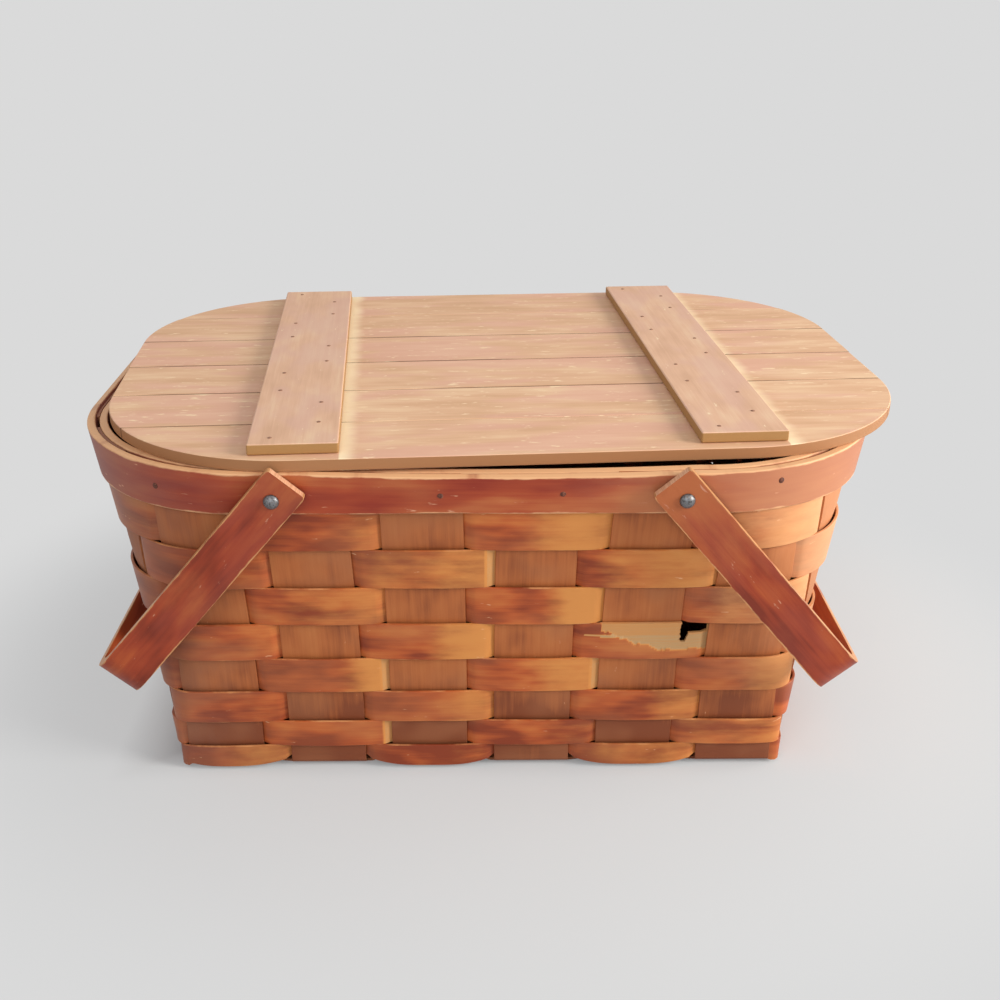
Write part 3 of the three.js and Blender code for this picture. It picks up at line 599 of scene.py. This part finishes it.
def makeWeaver(number):
    start = weaver["joint"] + number % 2  # its ends meet behind a stake of the back
    row = rows - number  # rows are counted from the foot
    low, high = wall["rowEdges"][row], wall["rowEdges"][row + 1]
    middleLevel = levelAt((low + high) / 2)

    def place(u, v):
        share = (u * allStakes + start) % allStakes
        passed, ahead = divmod(share, 1)
        height = mix(low, high, v)
        level = levelAt(height)
        distance = mix(stakeDistance(level, passed), stakeDistance(level, passed + 1), ahead)
        offset, rubbed, shade = weaverBend(middleLevel, number, share)
        if number == tear["row"] and v > splitLine(share):
            offset, rubbed = offset - tear["depth"], tear["fresh"] if v < tear["freshTo"] else tear["older"]
        elif number == tear["row"] and inSliver(share, v):
            rubbed = tear["fresh"]
        point = wallPoint(level, distance, offset, height)
        # neighbours share the drift of their common edge, so no gap opens between rows
        edge = (row + (v > 0.5)) * weaver["driftStep"]
        wander = drift(point.x, point.y, weaver["driftLength"], edge)
        point.z += weaver["wobble"] * wander * (2 * v - 1) ** 2
        if row == 0:
            point.z -= lowestDroop(offset, passed, ahead) * (1 - v)
        return point, rubbed, shade

    strip = newStrip(allStakes * weaver["perStake"], weaver["wide"])
    if number == tear["row"]:
        cutHole(strip, start)
    bendStrip(strip, place, 2 * middleLevel["halfRound"], high - low, closed=True)
    finishPiece(strip, f"woven_splint_{number}", "basket", "stainedAshWeaver",
                [f"weaver_{number}"], seed=number, halfWidth=(high - low) / 2,
                thick=weaver["thick"], ease=weaver["ease"])


for number in range(1, rows + 1):
    makeWeaver(number)
print("weavers woven")


# Stakes: down one wall, across the base and up the other

stake = {
    "thick": 1.8, "width": 47, "ease": 0.4, "top": 213, "bend": 2.9, "layers": (0.9, 3.0, 5.1),
    "wallSteps": 100, "bendSteps": 4, "baseSteps": 60, "wide": 8, "bow": 0.5, "cup": 0.25,
    "overHalf": 24.5, "overEase": 15,  # in the base, how far a stake stays over another and eases off
    "shadeTop": 0.04, "shadeFall": 1.0, "shadeFrom": 70, "shadeRun": 40,  # darker towards the foot
}


def stakeBow(number, height, across):
    # a stake is pressed in under a weaver and stands out where one passes behind it
    edges = wall["rowEdges"]
    for row, (low, high) in enumerate(zip(edges, edges[1:])):
        if low <= height < high:
            side = -1 if (rows - row + number) % 2 == 0 else 1
            share = abs(2 * (height - low) / (high - low) - 1)
            cup = stake["cup"] * (2 * across / stake["width"]) ** 2
            return side * stake["bow"] * (1 - share ** 4) - cup
    return 0


def wallStations(number, direction):
    # heights down the wall; each gives the point at a distance across the stake
    stations = []
    rimLevel = levelAt(stake["top"])
    top = stake["top"] - rimSag(wallPoint(rimLevel, stakeDistance(rimLevel, number), 0, 0))
    for step in range(stake["wallSteps"] + 1):
        height = mix(top, wall["foot"], step / stake["wallSteps"])
        level = levelAt(height)
        stations.append(
            lambda across, level=level, height=height, centre=stakeDistance(level, number): wallPoint(
                level, centre + direction * across, stakeBow(number, height, across), height))
    return stations


def bendStations(foot, inward, aside, layer):
    # the bend from the wall into the base
    stations = []
    for step in range(stake["bendSteps"] + 1):
        angle = quarter * step / stake["bendSteps"]
        centre = foot + inward * stake["bend"] * (1 - math.cos(angle))
        centre.z = layer + stake["bend"] * (1 - math.sin(angle))
        stations.append(lambda across, centre=centre: centre + aside * across)
    return stations


def makeStake(name, first, last, feet, inward, aside, baseHeights, node, seed):
    # "first" and "last" are its places round the wall, on the one side and on the other
    stations = wallStations(first, 1)
    stations += bendStations(feet[0], inward, aside, baseHeights(0))
    length = (feet[1] - feet[0]).length
    for step in range(1, stake["baseSteps"]):
        run = length * step / stake["baseSteps"]
        if stake["bend"] < run < length - stake["bend"]:
            centre = feet[0] + inward * run
            centre.z = baseHeights(run)
            stations.append(lambda across, centre=centre: centre + aside * across)
    stations += list(reversed(bendStations(feet[1], -inward, aside, baseHeights(length))))
    stations += list(reversed(wallStations(last, -1)))
    total = 2 * (stake["top"] - wall["foot"]) + length

    def place(u, v):
        point = stations[round(u * (len(stations) - 1))]((v - 0.5) * stake["width"])
        fall = limited((stake["shadeFrom"] - point.z) / stake["shadeRun"])
        return point, 0, stake["shadeTop"] - stake["shadeFall"] * fall

    strip = newStrip(len(stations) - 1, stake["wide"])
    bendStrip(strip, place, total, stake["width"])
    finishPiece(strip, name, "basket", "stainedAshStake", [node], seed=seed,
                halfWidth=stake["width"] / 2, thick=stake["thick"], ease=stake["ease"])


footX, footY = wall["footHalf"]
for number in range(crossCount):
    x = (number - (crossCount - 1) / 2) * wall["pitch"][0] + wall["middleX"]
    feet = (Vector((x, -footY, 0)), Vector((x, footY, 0)))
    makeStake(f"cross_splint_{number + 1}", number, halfStakes + crossCount - 1 - number, feet,
              Vector((0, 1, 0)), Vector((1, 0, 0)), lambda run: stake["layers"][1],
              f"cross_stake_{number + 1}", seed=20 + number)

for number in range(longCount):
    y = (number - (longCount - 1) / 2) * wall["pitch"][1]
    feet = (Vector((footX + wall["middleX"], y, 0)), Vector((-footX + wall["middleX"], y, 0)))

    def woven(run, number=number):
        # over one cross stake and under the next, easing between them
        place = (footX - run) / wall["pitch"][0] + (crossCount - 1) / 2
        crossing = int(limited(round(place), 0, crossCount - 1))
        gap = abs(place - crossing) * wall["pitch"][0] - stake["overHalf"]
        share = limited(gap / stake["overEase"]) if 0 < place < crossCount - 1 else 0
        height = stake["layers"][2 if (crossing + number) % 2 == 0 else 0]
        return mix(height, stake["layers"][1], share * share * (3 - 2 * share))

    makeStake(f"long_splint_{number + 1}", crossCount + number, allStakes - 1 - number, feet,
              Vector((-1, 0, 0)), Vector((0, 1, 0)), woven, f"long_stake_{number + 1}", seed=30 + number)
print("stakes bent")


# Rim: a thick hoop outside the stakes and one inside. Its ends meet at the left end of the basket,
# at "meet" times half of the way round, and the gap between them opens upwards.

hoop = {
    "thick": 5, "ease": 0.9, "offset": 3.7, "inset": (0.2, 0.1), "long": 360, "wide": 5,
    "wobble": 0.5, "driftLength": 60, "shade": 0.02, "meet": 1.44, "gap": (0.5, 4),
}


def makeHoop(name, side, node, seed):
    low, high = wall["rimLow"] + hoop["inset"][0], wall["rimTop"] - hoop["inset"][1]
    middleLevel = levelAt((low + high) / 2)

    def place(u, v):
        height = mix(low, high, v)
        level = levelAt(height)
        gap = mix(*hoop["gap"], v ** 3)
        distance = hoop["meet"] * level["halfRound"] + mix(gap / 2, 2 * level["halfRound"] - gap / 2, u)
        point = wallPoint(level, distance, side * hoop["offset"], height)
        point.z += hoop["wobble"] * drift(point.x, point.y, hoop["driftLength"], seed) * (1 - v) ** 2
        point.z -= rimSag(point) * v ** 2
        return point, 0, hoop["shade"]

    strip = newStrip(hoop["long"], hoop["wide"])
    bendStrip(strip, place, 2 * middleLevel["halfRound"], high - low)
    finishPiece(strip, name, "basket", "stainedRimWood", [node], seed=seed,
                halfWidth=(high - low) / 2, thick=hoop["thick"], ease=hoop["ease"], segments=3)


makeHoop("rim_band", 1, "rim_outer_hoop", seed=41)
makeHoop("rim_band_inside", -1, "rim_inner_hoop", seed=42)
print("rim fitted")


# Handles: a strip bent square, hanging with its cross bar against the end wall. They are worn
# towards the pivot, the right one more than the left.

handle = {
    "thick": 5.5, "width": 26, "ease": 0.8, "outerY": 193, "arm": 155.287, "tail": 13.5,
    "tailRadius": 2, "bend": 18, "hang": 40.4222, "tailSteps": 6, "armSteps": 34, "bendSteps": 12,
    "wide": 6, "rub": 0.2, "rubDrift": 0.5, "driftLength": 50, "wornRun": 60, "cutEnd": 2,
}


def handlePath():
    # the middle of the strip in Y and Z, from the front tail round to the back tail; "run" is how
    # far a point is from the tail's end, at least
    half = handle["thick"] / 2
    y, low, radius = handle["outerY"] - half, -handle["arm"] + half, handle["bend"] - half
    drop = handle["tail"] - low - radius
    tailSteps, armSteps, bendSteps = handle["tailSteps"], handle["armSteps"], handle["bendSteps"]
    runs = [handle["tailRadius"] * (1 - math.cos(quarter * s / tailSteps)) for s in range(tailSteps)]
    runs += [mix(handle["tailRadius"], drop, s / armSteps) for s in range(armSteps)]
    arm = [((-y, handle["tail"] - run), run) for run in runs]
    for s in range(bendSteps + 1):
        angle = quarter * s / bendSteps
        arm.append(((-y + radius * (1 - math.cos(angle)), low + radius * (1 - math.sin(angle))), drop))
    bar = 2 * (y - radius)
    crossBar = [((-y + radius + bar * s / armSteps, low), drop) for s in range(1, armSteps)]
    return arm + crossBar + [((-p[0], p[1]), run) for p, run in reversed(arm)]


def makeHandle(name, pivot, side, node, seed, worn):
    path = handlePath()
    hung = Matrix.Rotation(math.radians(-side * handle["hang"]), 3, "Y")
    half, tailRadius = handle["width"] / 2, handle["tailRadius"]

    def place(u, v):
        (y, z), run = path[round(u * (len(path) - 1))]
        # the corners of the tail are rounded
        short = tailRadius - math.sqrt(tailRadius ** 2 - max(0, tailRadius - run) ** 2)
        point = hung @ Vector((2 * (v - 0.5) * (half - short), y, z))
        rubbed = handle["rub"] + handle["rubDrift"] * drift(y, z, handle["driftLength"], seed)
        rubbed += worn * limited((z + handle["wornRun"]) / handle["wornRun"])
        return point + pivot, handle["cutEnd"] if run == 0 else rubbed, 0

    strip = newStrip(len(path) - 1, handle["wide"])
    bendStrip(strip, place, 2 * handle["arm"] + 2 * handle["outerY"], handle["width"])
    finishPiece(strip, name, node, "stainedHandleWood", [node], seed=seed,
                halfWidth=half, thick=handle["thick"], ease=handle["ease"], segments=3)


pivots = {joint["child"]: Vector(joint["pos_m"]) * toMillimetres
          for joint in frame["joints"] if joint["type"] == "hinge"}
makeHandle("bent_handle_left", pivots["left_handle"], -1, "left_handle", seed=51, worn=0.2)
makeHandle("bent_handle_right", pivots["right_handle"], 1, "right_handle", seed=52, worn=0.7)
print("handles hung")


# Fasteners, each turned from its profile: (radius, distance along the axis). "Out" is how far a
# head stands from the handle, from the middle of the wall or from the batten. The rim nails are
# placed by x, front or back, and height.

pin = {
    "rivet": [(0, 2.8), (1.3, 2.65), (2.5, 2.2), (3.5, 1.5), (4.1, 0.7), (4.4, 0.0), (2.5, 0.0),
              (2.5, -21), (3.9, -21), (2.8, -22.4), (0, -22.4)],
    "rivetOut": 0.3, "rivetSides": 28,
    "rimNail": [(0, 0.45), (0.9, 0.4), (1.5, 0.2), (1.8, -0.1), (1.0, -0.4), (1.0, -2), (0, -2)],
    "rimNails": [(-31, -1, 200), (37, -1, 201), (158, -1, 206), (-190, -1, 201),
                 (-60, 1, 201), (20, 1, 200), (150, 1, 202), (-170, 1, 201)],
    "rimNailOut": 6.3,
    "nail": [(0, 0.3), (0.8, 0.27), (1.15, 0.15), (1.3, -0.1), (0.9, -0.4), (0.9, -12), (0, -12)],
    "nailOut": 0.1, "nailSides": 14, "weld": 0.02,
}


def addPin(made, profile, point, outward, sides):
    axis = Vector(outward).normalized()
    aside = axis.orthogonal().normalized()
    verts = [made.verts.new(point + axis * along + aside * radius) for radius, along in profile]
    edges = [made.edges.new(pair) for pair in zip(verts, verts[1:])]
    bmesh.ops.spin(made, geom=verts + edges, cent=point, axis=axis, angle=2 * math.pi, steps=sides,
                   use_merge=True, dvec=(0, 0, 0))


def finishPins(made, name, body, nodes, finish):
    bmesh.ops.remove_doubles(made, verts=made.verts, dist=pin["weld"])
    bmesh.ops.recalc_face_normals(made, faces=made.faces)
    finishPiece(made, name, body, finish, nodes)


rivets = bmesh.new()
for pivot in pivots.values():
    for side in (-1, 1):
        spot = Vector((pivot.x, side * (handle["outerY"] + pin["rivetOut"]), pivot.z))
        addPin(rivets, pin["rivet"], spot, (0, side, 0), pin["rivetSides"])
rivetNodes = [f"{end}_{face}_rivet" for end in ("left", "right") for face in ("front", "back")]
finishPins(rivets, "handle_rivets", "basket", rivetNodes, "oxidisedSteel")

rimNails = bmesh.new()
for x, side, height in pin["rimNails"]:
    level = levelAt(height)
    along = x - wall["middleX"]
    distance = along if side < 0 else level["halfRound"] - along
    outward = outlineAt(level, distance)[1]
    addPin(rimNails, pin["rimNail"], wallPoint(level, distance, pin["rimNailOut"], height),
           (outward.x, outward.y, 0), pin["nailSides"])
finishPins(rimNails, "rim_nail_heads", "basket", [], "rustedNailSteel")
print("pins set")


# Lid: six boards cut from one rounded blank, held by two battens. "gaps" and "seamShade" run over
# the seams from the front, with the free edges first and last.

lid = {
    "halfX": 245.5, "halfY": 176.5, "radius": 118, "cornerSteps": 24, "middleX": 2.86492, "turn": 4,
    "low": 214.3, "thick": 7, "ease": 0.7, "boards": 6,
    "gaps": (0, 0.35, 0.8, 0.3, 0.45, 0.3, 0), "seamShade": (0, 0.0, 0.12, -0.02, 0.03, -0.03, 0),
}
batten = {"x": 127, "width": 50.5, "thick": 6.5, "inset": 7.5, "gap": 0.3, "ease": 1.0, "nails": (13, 12)}
battenTop = lid["low"] + lid["thick"] + batten["gap"] + batten["thick"]
boardWidth = 2 * lid["halfY"] / lid["boards"]


def mapFlat(made, alongX, middle, seams=()):
    # grain map for a sawn board
    grainMap = made.loops.layers.uv.new("splintMap")
    for face in made.faces:
        inSeam = abs(face.normal.y) > 0.9 and any(
            abs(face.calc_center_median().y - seam) < 2 for seam in seams)
        out = woodWear["seamOut"] if inSeam else woodWear["sideOut"] if abs(face.normal.z) < 0.5 else 0
        for corner in face.loops:
            co = corner.vert.co
            along, across = (co.x, co.y) if alongX else (co.y, co.x)
            corner[grainMap].uv = (along, across - middle + out)


def layLid(made):
    # the lid lies turned a little on the rim, its left end towards the front
    laid = Matrix.Translation((lid["middleX"], 0, 0)) @ Matrix.Rotation(math.radians(lid["turn"]), 4, "Z")
    bmesh.ops.transform(made, matrix=laid, verts=made.verts)


def makeBoard(number):
    board = bmesh.new()
    bmesh.ops.create_grid(board, x_segments=1, y_segments=1, size=1)
    bmesh.ops.scale(board, vec=(lid["halfX"], lid["halfY"], 1), verts=board.verts)
    bmesh.ops.bevel(board, geom=board.verts[:], offset=lid["radius"], offset_type="OFFSET",
                    segments=lid["cornerSteps"], profile=0.5, affect="VERTICES", material=-1)
    seams = [number * boardWidth - lid["halfY"], (number + 1) * boardWidth - lid["halfY"]]
    for end, facing in enumerate((-1, 1)):
        cut = seams[end] - facing * lid["gaps"][number + end] / 2
        bmesh.ops.bisect_plane(board, geom=board.verts[:] + board.edges[:] + board.faces[:], dist=0.001,
                               plane_co=(0, cut, 0), plane_no=(0, facing, 0), clear_outer=True)
    raised = bmesh.ops.extrude_face_region(board, geom=board.faces[:])["geom"]
    bmesh.ops.translate(board, vec=(0, 0, lid["thick"]),
                        verts=[part for part in raised if isinstance(part, bmesh.types.BMVert)])
    bmesh.ops.translate(board, vec=(0, 0, lid["low"]), verts=board.verts)
    bmesh.ops.recalc_face_normals(board, faces=board.faces)
    inner = [seam for seam in seams if abs(seam) < lid["halfY"] - 1]
    middle, half = sum(seams) / 2, boardWidth / 2
    if len(inner) == 1:  # the outer boards count from their free edge, which has no seam
        middle, half = (seams[0] if number == 0 else seams[1]), boardWidth
    mapFlat(board, True, middle, inner)
    shade = board.verts.layers.float.new("shade")
    for vert in board.verts:
        near = min(range(len(seams)), key=lambda i: abs(vert.co.y - seams[i]))
        vert[shade] = lid["seamShade"][number + near]
    layLid(board)
    finishPiece(board, f"lid_board_{number + 1}", "lid", "wornLidPine",
                [f"lid_plank_{number + 1}"], seed=60 + number, halfWidth=half, ease=lid["ease"], segments=3)


def makeBatten(sideName, side):
    made = bmesh.new()
    bmesh.ops.create_cube(made, size=1)
    size = (batten["width"], 2 * (lid["halfY"] - batten["inset"]), batten["thick"])
    bmesh.ops.scale(made, vec=size, verts=made.verts)
    bmesh.ops.translate(made, vec=(0, 0, battenTop - batten["thick"] / 2), verts=made.verts)
    made.normal_update()
    mapFlat(made, False, 0)
    bmesh.ops.translate(made, vec=(side * batten["x"], 0, 0), verts=made.verts)
    layLid(made)
    finishPiece(made, f"lid_batten_{sideName}", "lid", "wornBattenPine",
                [f"{sideName}_batten"], seed=70 + side, halfWidth=batten["width"] / 2,
                ease=batten["ease"], segments=3)


def nailBatten(sideName, side):
    # two nails through each board, slanting to the one side and the other in turn
    nails = bmesh.new()
    for board in range(lid["boards"]):
        middle = (board + 0.5) * boardWidth - lid["halfY"]
        slant = 1 if board % 2 == 0 else -1
        for aside in (-1, 1):
            spot = Vector((side * batten["x"] + aside * batten["nails"][0],
                           middle + aside * slant * batten["nails"][1], battenTop + pin["nailOut"]))
            addPin(nails, pin["nail"], spot, (0, 0, 1), pin["nailSides"])
    layLid(nails)
    nodes = [f"{sideName}_batten_nail_{i + 1}" for i in range(2 * lid["boards"])]
    finishPins(nails, f"batten_nails_{sideName}", "lid", nodes, "dustyNailSteel")


for number in range(lid["boards"]):
    makeBoard(number)
for sideName, side in (("left", -1), ("right", 1)):
    makeBatten(sideName, side)
    nailBatten(sideName, side)
print("lid boards laid")


# Studio, in metres: pale floor, soft light from the right, plain sky. The floor keeps its shadow
# near the basket and turns to the plain grey further out.

studio = {
    "grey": "dadada", "paper": "cbcfd2", "sky": 0.57, "floorHalf": 6,
    "greyFrom": (0.29, 0.47), "greyNear": 0.55,
    "underMiddle": (0, 0.03, 0), "underShape": (0.82, 1, 1), "underTo": (0.165, 0.2),
}
lamps = {
    "key lamp": {"place": (1.75, -0.75, 0.95), "aim": (0, 0, 0.12), "size": 0.9, "power": 40,
                 "colour": (1, 0.96, 0.9)},
    "fill lamp": {"place": (-0.6, -2.2, 1.4), "aim": (0, 0, 0.1), "size": 1.6, "power": 17,
                  "colour": (1, 1, 1)},
    "side lamp": {"place": (1.3, 0.15, 0.3), "aim": (0.24, 0, 0.13), "size": 0.5, "power": 6,
                  "colour": (1, 0.95, 0.88)},
}


def seenStraight(tree):
    # one where the camera sees it straight, in a gleam or through glass
    path = addNode(tree, "LightPath")
    seen = path.outputs["Is Camera Ray"]
    for ray in ("Is Glossy Ray", "Is Transmission Ray"):
        seen = addNode(tree, "Math", {0: seen, 1: path.outputs[ray]}, operation="MAXIMUM").outputs[0]
    return seen


def makeFloor():
    made = bmesh.new()
    bmesh.ops.create_grid(made, x_segments=1, y_segments=1, size=studio["floorHalf"])
    floor = addObject("studio_floor", meshOf(made, "studio_floor"))
    material = bpy.data.materials.new("matPaperFloor")  # seamless paper: matt and even
    tree = emptyTree(material)
    place = addNode(tree, "TexCoord").outputs["Object"]
    away = addNode(tree, "VectorMath", {0: place}, operation="LENGTH").outputs["Value"]
    far = addNode(tree, "MapRange", {
        "Value": away, "From Min": studio["greyFrom"][0], "From Max": studio["greyFrom"][1],
        "To Min": studio["greyNear"]}, interpolation_type="SMOOTHSTEP")
    # none of that right under the basket, where the floor shows through the weave and is dark
    under = addNode(tree, "VectorMath", {0: place, 1: studio["underMiddle"]}, operation="SUBTRACT")
    under = addNode(tree, "VectorMath", {0: under.outputs[0]}, operation="ABSOLUTE")
    under = addNode(tree, "VectorMath", {0: under.outputs[0], 1: studio["underShape"]},
                    operation="MULTIPLY")
    sides = addNode(tree, "SeparateXYZ", {0: under.outputs[0]})
    under = addNode(tree, "Math", {0: sides.outputs["X"], 1: sides.outputs["Y"]},
                    operation="MAXIMUM")
    clear = addNode(tree, "MapRange", {
        "Value": under.outputs[0], "From Min": studio["underTo"][0], "From Max": studio["underTo"][1]})
    plain = seenStraight(tree)
    for share in (far, clear):
        plain = addNode(tree, "Math", {0: plain, 1: share.outputs["Result"]},
                        operation="MULTIPLY").outputs[0]
    paper = addNode(tree, "BsdfDiffuse", {"Color": hexColour(studio["paper"])})
    glow = addNode(tree, "Emission", {"Color": hexColour(studio["grey"]), "Strength": 1.0})
    both = addNode(tree, "MixShader", {0: plain, 1: paper.outputs[0], 2: glow.outputs[0]})
    addNode(tree, "OutputMaterial", {0: both.outputs[0]})
    floor.data.materials.append(material)


def makeSky():
    world = bpy.data.worlds.new("studio sky")
    bpy.context.scene.world = world
    tree = emptyTree(world)
    light = addNode(tree, "Background", {"Color": (1, 0.98, 0.96, 1), "Strength": studio["sky"]})
    plain = addNode(tree, "Background", {"Color": hexColour(studio["grey"]), "Strength": 1.0})
    both = addNode(tree, "MixShader", {
        0: seenStraight(tree), 1: light.outputs[0], 2: plain.outputs[0]})
    addNode(tree, "OutputWorld", {0: both.outputs[0]})


def makeLamp(name, place, aim, size, power, colour):
    lamp = bpy.data.lights.new(name, "AREA")
    lamp.shape, lamp.size, lamp.energy, lamp.color = "DISK", size, power, colour
    holder = addObject(name, lamp)
    holder.location = place
    holder.rotation_euler = (Vector(aim) - Vector(place)).to_track_quat("-Z", "Y").to_euler()


makeFloor()
makeSky()
for name, settings in lamps.items():
    makeLamp(name, **settings)

# Camera: matched to the photograph. Its focal length is in pixels of a frame 1000 wide.
view = {"focal": 1270.4, "frame": 1000, "sensor": 36, "pitch": 23.484, "yaw": -0.952, "roll": 0.22,
        "place": (-0.00866, -0.8307, 0.47789)}
camera = addObject("photo camera", bpy.data.cameras.new("photo camera"))
bpy.context.scene.camera = camera
camera.data.sensor_width = view["sensor"]
camera.data.lens = view["focal"] / view["frame"] * view["sensor"]
camera.location = view["place"]
yaw, tilt, roll = [math.radians(angle) for angle in (view["yaw"], 90 - view["pitch"], view["roll"])]
turned = Matrix.Rotation(yaw, 4, "Z") @ Matrix.Rotation(tilt, 4, "X") @ Matrix.Rotation(roll, 4, "Z")
camera.rotation_euler = turned.to_euler()
bpy.context.scene.view_settings.view_transform = "Standard"
print("studio ready")

bpy.context.view_layer.update()
